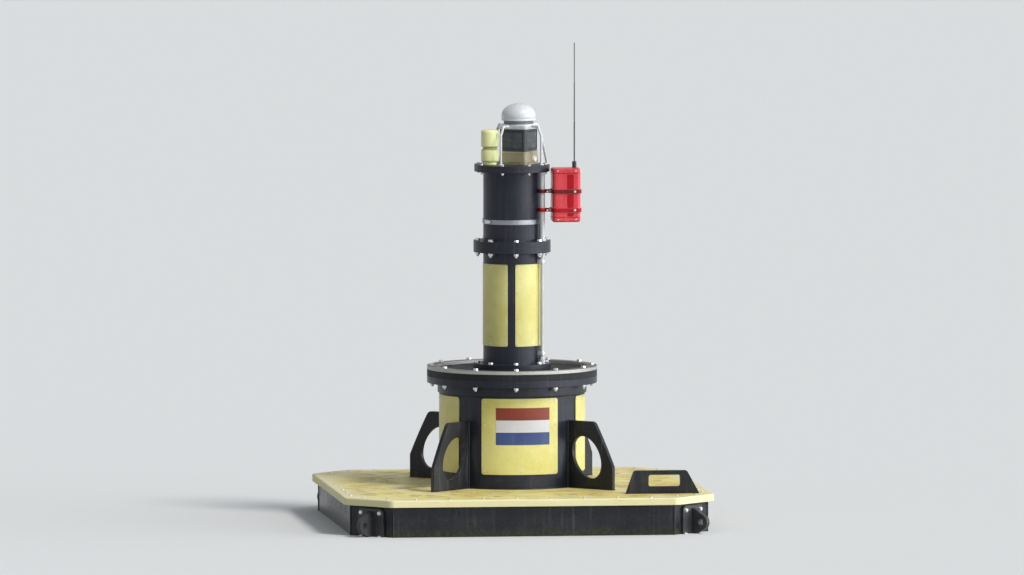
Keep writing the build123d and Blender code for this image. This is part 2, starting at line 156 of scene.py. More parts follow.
def rounded_rectangle(half_x, half_y, corner, steps=6):
    """Outline with round corners, as x and y."""
    outline = []
    for quarter, (across, along) in enumerate(((1, 1), (-1, 1), (-1, -1), (1, -1))):
        for k in range(steps + 1):
            a = math.radians(90 * quarter + 90 * k / steps)
            outline.append((across * (half_x - corner) + corner * math.cos(a),
                            along * (half_y - corner) + corner * math.sin(a)))
    return outline


# Mesh building

class Solid:
    """Collects points and faces of one piece."""

    def __init__(self):
        self.points, self.faces = [], []

    def add(self, points, faces, place=None):
        start = len(self.points)
        self.points += [place @ Vector(p) if place else Vector(p) for p in points]
        self.faces += [[i + start for i in face] for face in faces]

    def rings(self, loops, place=None, closed=False):
        """Skin over loops of equal length, with a cap at each end unless the last loop meets the first."""
        count, size = len(loops), len(loops[0])
        faces = []
        for k in range(count if closed else count - 1):
            a, b = k * size, ((k + 1) % count) * size
            faces += [(a + i, a + (i + 1) % size, b + (i + 1) % size, b + i) for i in range(size)]
        if not closed:
            faces.append(tuple(reversed(range(size))))
            faces.append(tuple(range((count - 1) * size, count * size)))
        self.add([p for loop in loops for p in loop], faces, place)

    def lathe(self, profile, place=None, steps=48):
        """Turns (radius, height) points round Z. Ends on the axis are closed by small caps."""
        loops = []
        for radius, height in profile:
            r = max(radius, 1e-5)
            loops.append([(r * math.cos(t), r * math.sin(t), height)
                          for t in (2 * math.pi * k / steps for k in range(steps))])
        self.rings(loops, place)

    def tube(self, path, radius, steps=8, closed=False):
        """Round tube along a list of points, with one radius or one for each point."""
        path = [Vector(p) for p in path]
        count = len(path)
        radii = radius if isinstance(radius, list) else [radius] * count
        loops = []
        side = None
        for k, point in enumerate(path):
            ahead = path[(k + 1) % count] if closed or k < count - 1 else point
            behind = path[k - 1] if closed or k > 0 else point
            along = (ahead - behind).normalized()
            if side is None:
                side = along.orthogonal().normalized()
            side = (side - along * side.dot(along)).normalized()
            other = along.cross(side)
            loops.append([point + radii[k] * (math.cos(t) * side + math.sin(t) * other)
                          for t in (2 * math.pi * i / steps for i in range(steps))])
        self.rings(loops, closed=closed)

    def box(self, size, place, bevel):
        """Box centred on its place, with its edges cut by a bevel."""
        x, y, z = (s / 2 for s in size)
        b = min(bevel, x * 0.9, y * 0.9, z * 0.9)
        loops = []
        for level, inset in ((-z, b), (-z + b, 0), (z - b, 0), (z, b)):
            w, d = x - inset, y - inset
            c = b if inset == 0 else b * 0.6
            loops.append([(w - c, -d, level), (w, -d + c, level), (w, d - c, level), (w - c, d, level),
                          (-w + c, d, level), (-w, d - c, level), (-w, -d + c, level), (-w + c, -d, level)])
        self.rings(loops, place)

    def hexagon(self, across, height, place):
        """Hexagonal bolt head or nut with a chamfered top."""
        corner = across / math.sqrt(3)
        radii = [corner if k % 2 == 0 else across / 2 for k in range(12)]
        angles = [math.radians(30 * k) for k in range(12)]

        def loop(level, limit):
            return [(min(r, limit) * math.cos(a), min(r, limit) * math.sin(a), level)
                    for r, a in zip(radii, angles)]

        cut = 0.09 * across
        self.rings([loop(0, corner), loop(height - cut, corner),
                    loop(height - 0.45 * cut, across * 0.545), loop(height, across * 0.47)], place)

    def washer(self, radius, height, place):
        cut = height / 4
        profile = [(radius - cut, 0), (radius, cut), (radius, height - cut), (radius - cut, height)]
        self.lathe(profile, place, 28)

    def build(self, name, material, sharp=38, place=None):
        """Makes the object. Edges sharper than an angle in degrees stay sharp."""
        mesh = bpy.data.meshes.new(name)
        mesh.from_pydata([tuple(p) for p in self.points], [], self.faces)
        mesh.validate()
        mesh.polygons.foreach_set("use_smooth", [True] * len(mesh.polygons))
        mesh.set_sharp_from_angle(angle=math.radians(sharp))
        mesh.materials.append(material)
        piece = bpy.data.objects.new(name, mesh)
        if place:
            piece.matrix_world = place
        bpy.context.scene.collection.objects.link(piece)
        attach(piece, "root")
        return piece


# Materials

class Nodes:
    """Makes and links the nodes of one tree."""

    def __init__(self, tree):
        self.tree = tree
        tree.nodes.clear()

    def node(self, kind, **fixed):
        node = self.tree.nodes.new("ShaderNode" + kind)
        for key, value in fixed.items():
            setattr(node, key, value)
        return node

    def put(self, socket, value):
        """Links a socket to another one, or sets it. A colour of three numbers is made opaque."""
        if isinstance(value, bpy.types.NodeSocket):
            self.tree.links.new(value, socket)
            return
        if isinstance(value, tuple) and len(value) == 3 and len(socket.default_value) == 4:
            value = (*value, 1)
        socket.default_value = value

    def maths(self, kind, a, b=0.0, clamp=False):
        step = self.node("Math", operation=kind, use_clamp=clamp)
        self.put(step.inputs[0], a)
        self.put(step.inputs[1], b)
        return step.outputs[0]

    def less(self, a, b):
        return self.maths("SUBTRACT", a, b)

    def times(self, *values):
        total = values[0]
        for value in values[1:]:
            total = self.maths("MULTIPLY", total, value)
        return total

    def weigh(self, *pairs, clamp=False):
        """Sum of values, each times its weight."""
        total = self.times(*pairs[0])
        for pair in pairs[1:]:
            total = self.maths("ADD", total, self.times(*pair), clamp)
        return total

    def dot(self, a, b):
        product = self.node("VectorMath", operation="DOT_PRODUCT")
        self.put(product.inputs[0], a)
        self.put(product.inputs[1], b)
        return product.outputs["Value"]

    def axes(self, vector):
        """The x, y and z of a vector."""
        split = self.node("SeparateXYZ")
        self.put(split.inputs[0], vector)
        return split.outputs

    def seen(self):
        """1 for camera, glossy and transmission rays, which show the pale backdrop."""
        rays = self.node("LightPath").outputs
        straight = self.maths("MAXIMUM", rays["Is Camera Ray"], rays["Is Glossy Ray"])
        return self.maths("MAXIMUM", straight, rays["Is Transmission Ray"])


class Shade(Nodes):
    """One Principled material in object coordinates: metres on the buoy, or on a piece with its own place."""

    def __init__(self, name, fixed):
        self.material = bpy.data.materials.new(name)
        self.material.use_nodes = True
        super().__init__(self.material.node_tree)
        self.shader = self.node("BsdfPrincipled")
        self.put(self.node("OutputMaterial").inputs[0], self.shader.outputs[0])
        for key, value in fixed.items():
            self.shader.inputs[key].default_value = value
        self.place = self.node("TexCoord").outputs["Object"]

    def finish(self, colour, roughness, normal):
        for key, value in (("Base Color", colour), ("Roughness", roughness), ("Normal", normal)):
            self.put(self.shader.inputs[key], value)
        return self.material

    def noise(self, scale, detail=3, rough=0.55, stretch=(1, 1, 1), shift=(0, 0, 0), twist=0.0):
        spread = self.node("Mapping")
        self.put(spread.inputs["Vector"], self.place)
        spread.inputs["Scale"].default_value = stretch
        spread.inputs["Location"].default_value = shift
        texture = self.node("TexNoise")
        self.put(texture.inputs["Vector"], spread.outputs[0])
        for key, value in (("Scale", scale), ("Detail", detail), ("Roughness", rough), ("Distortion", twist)):
            texture.inputs[key].default_value = value
        return texture.outputs[0]

    def cells(self, scale):
        texture = self.node("TexVoronoi")
        self.put(texture.inputs["Vector"], self.place)
        texture.inputs["Scale"].default_value = scale
        return texture.outputs[0]

    def span(self, value, low, high, to_low=0.0, to_high=1.0):
        """Smooth step of a value between two limits."""
        step = self.node("MapRange", interpolation_type="SMOOTHSTEP")
        for key, amount in enumerate((value, low, high, to_low, to_high)):
            self.put(step.inputs[key], amount)
        return step.outputs[0]

    def mix(self, amount, a, b):
        """Blend of two colours, whose sockets are numbers 6 and 7 of the node."""
        step = self.node("Mix", data_type="RGBA")
        self.put(step.inputs[0], amount)
        self.put(step.inputs[6], a)
        self.put(step.inputs[7], b)
        return step.outputs[2]

    def normal(self):
        return self.node("NewGeometry").outputs["Normal"]

    def up(self):
        """1 on faces that look up, 0 on walls."""
        return self.span(self.axes(self.normal())[2], 0.35, 0.9)

    def height(self):
        return self.axes(self.place)[2]

    def from_deck_edge(self):
        """Distance inwards from the edge of the deck, whose corners are cut."""
        x, y = (self.maths("ABSOLUTE", value) for value in self.axes(self.place)[:2])
        cut = self.times(self.less(self.maths("ADD", x, y), 2 * DECK_HALF - DECK_CUT), math.sqrt(0.5))
        side = self.less(self.maths("MAXIMUM", x, y), DECK_HALF)
        return self.times(self.maths("MAXIMUM", side, cut), -1.0)

    def edges(self, radius):
        """Mask that is 1 on sharp outer and inner edges, and the rounded normal."""
        bevel = self.node("Bevel", samples=6)
        bevel.inputs["Radius"].default_value = radius
        return self.span(self.dot(bevel.outputs[0], self.normal()), 0.99, 0.86), bevel.outputs[0]

    def bump(self, height, strength, distance, normal=None):
        step = self.node("Bump")
        step.inputs["Strength"].default_value = strength
        step.inputs["Distance"].default_value = distance
        self.put(step.inputs["Height"], height)
        if normal is not None:
            self.put(step.inputs["Normal"], normal)
        return step.outputs[0]


# How far growth and damp reach above the water, and how far the paler rim goes in from the deck's edge
GROWTH_FULL, GROWTH_END = 0.010, 0.085
DAMP_FULL, DAMP_END = 0.030, 0.170
RIPPLE = 0.11
RIM_FULL, RIM_END, RIM_WANDER, RIM_STRENGTH = 0.035, 0.150, 0.22, 0.75
GROWTH_DARK, GROWTH_LIGHT = (0.020, 0.026, 0.010), (0.058, 0.055, 0.022)
DAMP_ROUGHNESS, POOL_ROUGHNESS = (0.13,) * 3, (0.08,) * 3


def add_stain_and_sheen(s, colour, stain, painted_sheen, fine):
    """Pale marks, a painted highlight standing for the sheen of wet patches, and brown stain marks of the
    deck's top.
    """
    marks = s.noise(4.6, 8, 0.72, shift=(11, 3, 2), twist=0.3)
    # Painted highlight: pale marks on faces that look up stand for the sheen of wet patches
    colour = s.mix(s.times(s.span(marks, 0.50, 0.60), s.up(), 0.62), colour, painted_sheen)
    brown = s.times(s.span(marks, 0.49, 0.37), s.span(fine, 0.3, 0.6, 0.5, 1.0))
    return s.mix(s.times(brown, s.up(), 0.72), colour, stain)


def painted_crease_shade(s, colour, level, half, tint):
    """Painted shade: a dark line round the piece at a level, where a crease is shaded. half is half its
    width, where it has faded out.
    """
    off = s.maths("ABSOLUTE", s.less(s.height(), level))
    return s.mix(s.times(s.span(off, half, half * 0.25), 0.8), colour, tint)


def grown_over(s, colour, roughness):
    """Slime at the waterline and a wet stretch above it."""
    ripple = s.times(s.less(s.noise(11, 4, stretch=(1, 1, 0.2)), 0.5), RIPPLE)
    level = s.less(s.height(), ripple)
    slime = s.times(s.span(level, WATERLINE + GROWTH_END, WATERLINE + GROWTH_FULL),
                    s.span(s.noise(34, 5, 0.7), 0.3, 0.62, 0.45, 1.0))
    growth = s.mix(s.span(s.noise(60, 3), 0.4, 0.65), GROWTH_DARK, GROWTH_LIGHT)
    damp = s.span(level, WATERLINE + DAMP_END, WATERLINE + DAMP_FULL)
    return s.mix(s.times(slime, 0.85), colour, growth), s.mix(s.times(damp, 0.8), roughness, DAMP_ROUGHNESS)


def plastic(name, dark, light, rough, salt=0.3, grime=0.2, edge=None, edge_amount=0.6, edge_radius=0.004,
            pipe=False, waterline=False, grime_colour=(0.11, 0.085, 0.05), salt_colour=(0.42, 0.44, 0.45),
            scratches=0.5, scratch_colour=None, coat=0.0, spec=0.5, wet=0.0, rim=None, line=None,
            stain_and_sheen=None):
    """Weathered plastic, with painted sheen and painted crease shade where asked. Every rim, line, stain and
    wet patch is left out where it isn't asked for.
    """
    s = Shade(name, {"Specular IOR Level": spec, "Coat Weight": coat, "Coat Roughness": 0.12})

    # Mottled colour
    broad = s.noise(2.3, 5)
    patch = s.noise(7.5, 4, shift=(3, 1, 2))
    fine = s.noise(70, 2)
    tone = s.weigh((broad, 0.6), (patch, 0.25), (fine, 0.15))
    colour = s.mix(s.span(tone, 0.36, 0.66), dark, light)

    # Salt in run-off streaks and flecks
    streak = s.noise(9, 5, stretch=(4.2, 4.2, 0.28), shift=(1, 5, 0))
    runs = s.times(s.span(streak, 0.5, 0.78), s.span(broad, 0.3, 0.7))
    flecks = s.times(s.span(s.noise(120, 3), 0.58, 0.74), s.span(patch, 0.42, 0.7))
    salted = s.weigh((runs, salt), (flecks, salt * 0.6), clamp=True)
    colour = s.mix(salted, colour, salt_colour)

    # Dirt, most of it on faces that look up, then the deck's stain marks and painted sheen, its paler rim,
    # and painted crease shade
    flat = s.up()
    dirt = s.times(s.span(s.noise(4.2, 6, 0.65, shift=(7, 2, 4)), 0.46, 0.72), s.span(fine, 0.25, 0.7),
                   s.maths("ADD", s.times(flat, 0.7), 0.45), grime)
    # Brown stain marks and the painted sheen of wet patches, on the deck
    if stain_and_sheen:
        colour = add_stain_and_sheen(s, colour, *stain_and_sheen, fine)
    # A paler band along the deck's edge, with less dirt on it
    if rim:
        reach = s.maths("ADD", s.from_deck_edge(), s.times(s.less(patch, 0.5), RIM_WANDER))
        paler_rim = s.times(s.span(reach, RIM_END, RIM_FULL), RIM_STRENGTH)
        dirt = s.times(dirt, s.less(1.0, paler_rim))
        colour = s.mix(paler_rim, colour, rim)
    colour = s.mix(dirt, colour, grime_colour)
    # Painted shade: a dark band where a crease is shaded
    if line:
        colour = painted_crease_shade(s, colour, *line)

    # Scratches and worn edges
    cuts = s.times(s.span(s.noise(26, 2, 0.4, stretch=(0.35, 0.35, 7), shift=(2, 2, 2)), 0.665, 0.70),
                   s.span(s.noise(3.1, 2, shift=(5, 5, 5)), 0.5, 0.62), scratches)
    if scratch_colour:
        colour = s.mix(cuts, colour, scratch_colour)
    worn, rounded = s.edges(edge_radius)
    if edge:
        colour = s.mix(s.times(worn, s.span(s.noise(28, 4), 0.35, 0.62), edge_amount), colour, edge)

    # Roughness, with growth and standing water
    roughness = s.span(s.weigh((patch, 0.6), (fine, 0.4)), 0.32, 0.68, *rough)
    roughness = s.maths("ADD", roughness, s.weigh((salted, 0.22), (dirt, 0.22), (cuts, 0.12)), clamp=True)
    if waterline:
        colour, roughness = grown_over(s, colour, roughness)
    if wet:
        pool = s.times(s.span(s.noise(2.9, 3, shift=(4, 8, 1)), 0.44, 0.6), flat, wet)
        colour = s.mix(s.times(pool, 0.35), colour, dark)
        roughness = s.mix(pool, roughness, POOL_ROUGHNESS)

    # Fine grain, slight waviness, the drawn lines of a pipe, and the scratches
    bump = s.bump(s.noise(190, 2), 0.12, 0.0012, rounded)
    bump = s.bump(s.noise(11, 3), 0.10, 0.010, bump)
    if pipe:
        bump = s.bump(s.noise(12, 2, stretch=(6, 6, 0.05)), 0.16, 0.004, bump)
    bump = s.bump(cuts, 0.25, 0.0006, bump)
    return s.finish(colour, roughness, bump)


def metal(name, dark, light, rough, stain=0.35, stain_colour=(0.20, 0.10, 0.045), grain=160.0, metallic=1.0,
          edge_radius=0.0025, pits=0.2, upper=None):
    """Weathered metal: fine grain, dull spots of stain and bright edges. Faces that look up can differ."""
    s = Shade(name, {"Metallic": metallic})
    broad = s.noise(5, 5)
    fine = s.noise(grain, 2)
    tone = s.weigh((broad, 0.55), (fine, 0.45))
    colour = s.mix(s.span(tone, 0.34, 0.66), dark, light)
    spots = s.times(s.span(s.noise(22, 5, 0.7, shift=(3, 3, 3)), 0.53, 0.74), s.span(broad, 0.35, 0.65))
    colour = s.mix(s.times(spots, stain), colour, stain_colour)
    if upper:
        colour = s.mix(s.times(s.up(), s.span(broad, 0.3, 0.6, 0.75, 1.0)), colour, upper)
    worn, rounded = s.edges(edge_radius)
    colour = s.mix(s.times(worn, 0.35), colour, light)
    roughness = s.maths("ADD", s.span(tone, 0.3, 0.7, *rough), s.times(spots, 0.25), clamp=True)
    bump = s.bump(fine, 0.10, 0.0006, rounded)
    bump = s.bump(s.span(s.noise(90, 3), 0.55, 0.75), pits, 0.0008, bump)
    return s.finish(colour, roughness, bump)


def solar_glass():
    """Dark cells behind a clear cover: a grid of thin lines in the panel's own coordinates."""
    cell_width, cell_height, bar_pitch = 0.030, 0.0375, 0.0075
    film_share = 0.07
    s = Shade("solar_cells", {"Coat Weight": 0.5, "Coat Roughness": 0.08, "Specular IOR Level": 0.3})
    across, level = s.axes(s.place)[1:]

    def lines(value, pitch, width):
        share = s.maths("FRACT", s.maths("ADD", s.maths("DIVIDE", value, pitch), 50.5))
        return s.span(s.maths("ABSOLUTE", s.less(share, 0.5)), width * 1.4, width * 0.6)

    gaps = s.maths("MAXIMUM", lines(across, cell_width, 0.045), lines(level, cell_height, 0.04))
    bars = s.times(lines(across, bar_pitch, 0.10), 0.30)
    colour = s.mix(s.span(s.cells(90), 0.1, 0.7), (0.010, 0.018, 0.026), (0.020, 0.034, 0.044))
    colour = s.mix(bars, colour, (0.20, 0.22, 0.24))
    colour = s.mix(gaps, colour, (0.075, 0.085, 0.085))
    film = s.times(s.span(s.noise(14, 5), 0.45, 0.75), film_share)
    colour = s.mix(film, colour, (0.40, 0.41, 0.38))
    roughness = s.span(film, 0, film_share, 0.16, 0.36)
    return s.finish(colour, roughness, s.bump(s.noise(18, 2), 0.05, 0.002))


# Palette: the dark and light colour of the mottling, then the range of roughness

mat_float = plastic(
    "black_float", (0.009, 0.0105, 0.014), (0.024, 0.026, 0.032), (0.26, 0.44), salt=0.14, grime=0.25,
    spec=0.28, edge=(0.075, 0.08, 0.085), scratch_colour=(0.07, 0.075, 0.08), waterline=True)
mat_pipe = plastic(
    "black_pipe", (0.007, 0.009, 0.019), (0.017, 0.020, 0.033), (0.30, 0.44), salt=0.06, grime=0.16,
    spec=0.33, edge=(0.07, 0.075, 0.085), scratch_colour=(0.055, 0.06, 0.07), pipe=True)
mat_plate = plastic(
    "black_plate", (0.009, 0.010, 0.014), (0.023, 0.024, 0.029), (0.28, 0.44), salt=0.15,
    spec=0.28, edge=(0.085, 0.09, 0.095), edge_radius=0.005, scratch_colour=(0.07, 0.075, 0.08))
mat_cover = plastic(
    "black_cover", (0.009, 0.010, 0.015), (0.019, 0.020, 0.026), (0.5, 0.7), salt=0.06, grime=0.25,
    spec=0.24, edge=(0.07, 0.075, 0.085))
# The deck's second marking colour is a painted highlight, the sheen of wet patches
mat_deck = plastic(
    "yellow_deck", (0.84, 0.68, 0.15), (0.95, 0.85, 0.30), (0.44, 0.62), salt=0.55, grime=0.8,
    edge=(0.96, 0.93, 0.74), edge_amount=0.8, edge_radius=0.006, salt_colour=(0.93, 0.89, 0.78),
    grime_colour=(0.29, 0.19, 0.115), scratches=0.8, scratch_colour=(0.34, 0.25, 0.10), wet=0.30,
    rim=(0.90, 0.86, 0.54), stain_and_sheen=((0.40, 0.29, 0.15), (0.93, 0.89, 0.74)))
mat_sheet = plastic(
    "yellow_sheet", (0.67, 0.61, 0.165), (0.81, 0.77, 0.30), (0.30, 0.46), salt=0.22, grime=0.3,
    edge=(0.42, 0.36, 0.12), edge_amount=0.7, edge_radius=0.003, salt_colour=(0.88, 0.86, 0.70),
    grime_colour=(0.24, 0.19, 0.08), scratch_colour=(0.45, 0.38, 0.12))
mat_red = plastic(
    "red_housing", (0.64, 0.020, 0.034), (0.80, 0.048, 0.062), (0.24, 0.38), salt=0.14,
    edge=(0.86, 0.30, 0.32), edge_amount=0.8, edge_radius=0.010, salt_colour=(0.85, 0.55, 0.55),
    grime_colour=(0.16, 0.02, 0.02), scratch_colour=(0.78, 0.25, 0.25), coat=0.3)
mat_red_dark = plastic(
    "red_inset", (0.36, 0.003, 0.010), (0.48, 0.006, 0.016), (0.4, 0.55), salt=0.03, grime=0.15,
    spec=0.2, edge=(0.6, 0.08, 0.09), edge_radius=0.002, grime_colour=(0.10, 0.01, 0.01))
mat_strap = plastic(
    "strap_red", (0.13, 0.006, 0.008), (0.21, 0.012, 0.016), (0.4, 0.55), salt=0.06,
    spec=0.2, edge=(0.30, 0.06, 0.06), edge_radius=0.002)
mat_antenna = plastic(
    "black_antenna", (0.014, 0.015, 0.018), (0.034, 0.036, 0.042), (0.4, 0.55), salt=0.2, grime=0.1,
    edge=(0.09, 0.09, 0.1), edge_radius=0.001)
mat_base = plastic(
    "lantern_base", (0.32, 0.285, 0.18), (0.47, 0.425, 0.28), (0.42, 0.6), salt=0.25, grime=0.35,
    edge=(0.60, 0.55, 0.38), grime_colour=(0.13, 0.10, 0.05), scratch_colour=(0.5, 0.46, 0.3))
mat_hood = plastic(
    "lantern_hood", (0.90, 0.93, 0.92), (0.94, 0.96, 0.95), (0.36, 0.52), salt=0.0, grime=0.10,
    edge=(0.9, 0.92, 0.92), grime_colour=(0.30, 0.28, 0.22))
mat_seam = plastic(
    "lantern_seam", (0.17, 0.18, 0.19), (0.26, 0.27, 0.28), (0.5, 0.65), salt=0.25,
    edge=(0.32, 0.33, 0.34), edge_radius=0.002)
mat_body = plastic(
    "solar_body", (0.030, 0.036, 0.038), (0.062, 0.070, 0.072), (0.34, 0.5), salt=0.2,
    edge=(0.17, 0.18, 0.18), edge_radius=0.003)
mat_dome = plastic(
    "white_dome", (0.68, 0.71, 0.75), (0.77, 0.80, 0.84), (0.22, 0.36), salt=0.1, grime=0.16,
    grime_colour=(0.46, 0.43, 0.34), salt_colour=(0.95, 0.95, 0.95), coat=0.25)
# The dark band at the waist is painted shade in the crease between the two lobes
mat_signal = plastic(
    "yellow_signal", (0.94, 0.96, 0.42), (0.97, 0.98, 0.55), (0.26, 0.4), salt=0.06, grime=0.14,
    grime_colour=(0.35, 0.31, 0.08), salt_colour=(0.93, 0.92, 0.7), coat=0.25,
    line=(PLATE_TOP + SIGNAL_WAIST, 0.020, (0.36, 0.34, 0.10)))
mat_rubber = plastic(
    "black_rubber", (0.010, 0.010, 0.011), (0.022, 0.022, 0.024), (0.5, 0.7), salt=0.2)
# Pale cream of the cap on the lantern's base, which is a painted highlight
mat_cream = plastic(
    "cream_cap", (0.88, 0.85, 0.73), (0.94, 0.92, 0.83), (0.35, 0.5), salt=0.1, grime=0.25,
    edge=(0.85, 0.82, 0.7), edge_radius=0.002)
mat_flag_red = plastic(
    "band_red", (0.20, 0.026, 0.010), (0.29, 0.046, 0.016), (0.34, 0.5), salt=0.14,
    salt_colour=(0.62, 0.35, 0.28), grime_colour=(0.16, 0.03, 0.015))
mat_flag_white = plastic(
    "band_white", (0.64, 0.64, 0.68), (0.75, 0.75, 0.79), (0.34, 0.5), salt=0.1,
    grime_colour=(0.46, 0.42, 0.34))
mat_flag_blue = plastic(
    "band_blue", (0.022, 0.050, 0.17), (0.045, 0.085, 0.26), (0.34, 0.5), salt=0.14,
    salt_colour=(0.30, 0.36, 0.48), grime_colour=(0.02, 0.03, 0.07))
mat_cells = solar_glass()

mat_band = metal("band_steel", (0.24, 0.25, 0.27), (0.38, 0.39, 0.42), (0.40, 0.55))
mat_guard = metal(
    "guard_rod", (0.58, 0.60, 0.62), (0.74, 0.76, 0.78), (0.42, 0.58), metallic=0.1, stain=0.3,
    stain_colour=(0.30, 0.24, 0.17))
mat_rod = metal(
    "galvanised_rod", (0.46, 0.47, 0.49), (0.64, 0.66, 0.68), (0.42, 0.58), metallic=0.2, stain=0.3,
    stain_colour=(0.22, 0.17, 0.12))
mat_steel = metal("stainless_steel", (0.46, 0.47, 0.48), (0.70, 0.71, 0.71), (0.26, 0.44))
mat_ring = metal(
    "ring_steel", (0.38, 0.38, 0.36), (0.54, 0.53, 0.50), (0.42, 0.58), metallic=0.45, stain=0.42,
    stain_colour=(0.24, 0.19, 0.12), upper=(0.17, 0.155, 0.14))
mat_bolt = metal(
    "bolt_steel", (0.52, 0.53, 0.54), (0.78, 0.78, 0.78), (0.24, 0.4), stain=0.3, grain=300.0,
    edge_radius=0.0012)
mat_paint = metal(
    "painted_steel", (0.030, 0.032, 0.036), (0.060, 0.064, 0.070), (0.36, 0.52), metallic=0.15,
    stain=0.75, stain_colour=(0.16, 0.055, 0.02), pits=0.35)
mat_ballast = metal(
    "ballast_steel", (0.12, 0.12, 0.12), (0.24, 0.235, 0.23), (0.6, 0.8), metallic=0.6, stain=0.6,
    pits=0.5)
mat_generator = metal(
    "generator_housing", (0.24, 0.27, 0.30), (0.34, 0.37, 0.40), (0.4, 0.5), metallic=0.1)

by_slot = {
    "black_float": mat_float, "yellow_deck": mat_deck, "black_pipe": mat_pipe, "black_plate": mat_plate,
    "yellow_sheet": mat_sheet, "stainless_steel": mat_steel, "painted_steel": mat_paint,
    "red_housing": mat_red, "black_antenna": mat_antenna, "lantern_base": mat_base,
    "solar_panel": mat_body, "lantern_hood": mat_hood, "lantern_seam": mat_seam,
    "white_dome": mat_dome, "yellow_signal": mat_signal, "ballast_steel": mat_ballast,
    "generator_housing": mat_generator}
by_node = {
    "drum_backing_ring": mat_ring, "drum_cover": mat_cover, "mast_band": mat_band,
    "side_pole": mat_rod, "cable_conduit": mat_rod, "lantern_guard": mat_guard,
    "housing_strap_lower": mat_red_dark, "housing_strap_upper": mat_strap}
slot_of = {part["node"]: part["material_slot"] for part in frame["record"]["subparts"]}
for name, node in nodes.items():
    material = by_node.get(name, by_slot[slot_of[name]])
    if not node.material_slots:
        node.data.materials.append(material)
    for holder in node.material_slots:
        holder.material = material


# Bolts and screws, whose proportions are shares of the thread's diameter or of the head's radius

ACROSS_FLATS, WASHER, WASHER_THICK, HEAD, NUT, STUD = 1.5, 0.93, 0.15, 0.63, 0.8, 0.6
# The most that a head is turned at random: about 60 degrees, in radians
SIXTH_TURN = 1.05


def bolt(steel, place, size, head=HEAD):
    """Hex bolt with washer, standing along Z of its place. size is the thread's diameter."""
    steel.washer(WASHER * size, WASHER_THICK * size, place)
    turn = Matrix.Rotation(rng.uniform(0, SIXTH_TURN), 4, "Z")
    steel.hexagon(ACROSS_FLATS * size, head * size, place @ at(0, 0, WASHER_THICK * size) @ turn)


def nut(steel, place, size):
    """Nut with washer and the end of the thread."""
    bolt(steel, place, size, NUT)
    r, h = 0.5 * size, STUD * size
    root = 0.93 * r
    profile = [(root, 0), (root, 0.3 * h)]
    for crest in (0.34, 0.50, 0.66):
        profile += [(r, crest * h), (root, (crest + 0.08) * h)]
    profile += [(0.9 * r, 0.9 * h), (0.7 * r, h)]
    steel.lathe(profile, place @ at(0, 0, 0.9 * size), 16)


def screw(steel, place, radius):
    """Low round screw head with a round socket."""
    steel.lathe([(radius, 0), (radius, radius * 0.18), (radius * 0.82, radius * 0.42),
                 (radius * 0.45, radius * 0.52), (radius * 0.42, radius * 0.2), (0, radius * 0.2)], place, 16)


def bolt_ring(name, count, radius, start, upper, lower, size):
    """Ring of bolts on an upper face, with nuts under a lower one."""
    steel = Solid()
    for k in range(count):
        spot = toward(start + 360 * k / count, radius)
        bolt(steel, at(spot.x, spot.y, upper), size)
        if lower is not None:
            nut(steel, at(spot.x, spot.y, lower) @ DOWN, size)
    steel.build(name, mat_bolt, 30)


drum_circle = reach_of("drum_flange") - 0.036
mast_circle = reach_of("mast_base_flange") - 0.028
plate_circle = reach_of("mast_top_plate") - 0.020
bolt_ring("drum_flange_bolts", 12, drum_circle, start=-4, upper=RING_TOP, lower=DRUM_FLANGE_LOW, size=0.020)
bolt_ring("mast_base_bolts", 8, mast_circle, start=0, upper=BASE_FLANGE_TOP, lower=None, size=0.020)
bolt_ring("mast_joint_bolts", 8, mast_circle, start=0, upper=JOINT_HIGH, lower=JOINT_LOW, size=0.020)
bolt_ring("top_plate_bolts", 8, plate_circle, start=22.5, upper=PLATE_TOP, lower=PLATE_LOW, size=0.012)


def mooring_pad_bolts():
    steel = Solid()
    for bearing in CORNERS:
        for across in (-0.080, 0.080):
            for rise in (-0.084, 0.084):
                place = facing(bearing) @ at(LUG_PAD_FACE, across, LUG_LEVEL + rise)
                bolt(steel, place @ OUTWARD, 0.016)
    steel.build("mooring_pad_bolts", mat_bolt, 30)


def deck_screws():
    """Screws that hold the deck on the float, along its edge."""
    inset, pitch, size = 0.062, 0.24, 0.011
    steel = Solid()
    corners = cut_square(DECK_HALF - inset, DECK_CUT)
    for k, start in enumerate(corners):
        end = corners[(k + 1) % len(corners)]
        count = max(2, round(math.dist(start, end) / pitch))
        for step in range(count):
            share = (step + 0.5) / count
            spot = [start[i] + (end[i] - start[i]) * share for i in (0, 1)]
            screw(steel, at(*spot, DECK_TOP), size)
    steel.build("deck_screws", mat_bolt, 30)


def screws_of_sheet(steel, node, centre, radius, arc, inset, size):
    """Screws down both sides of a bent sheet, and one at the middle of its top and bottom edges."""
    rows = 4
    edge = math.degrees(inset / radius)
    first, last = base_of(node) + inset, top_of(node) - inset
    for bearing in (centre - arc / 2 + edge, centre, centre + arc / 2 - edge):
        for row in range(rows):
            if bearing == centre and 0 < row < rows - 1:
                continue
            level = first + (last - first) * row / (rows - 1)
            screw(steel, facing(bearing) @ at(radius, 0, level) @ OUTWARD, size)


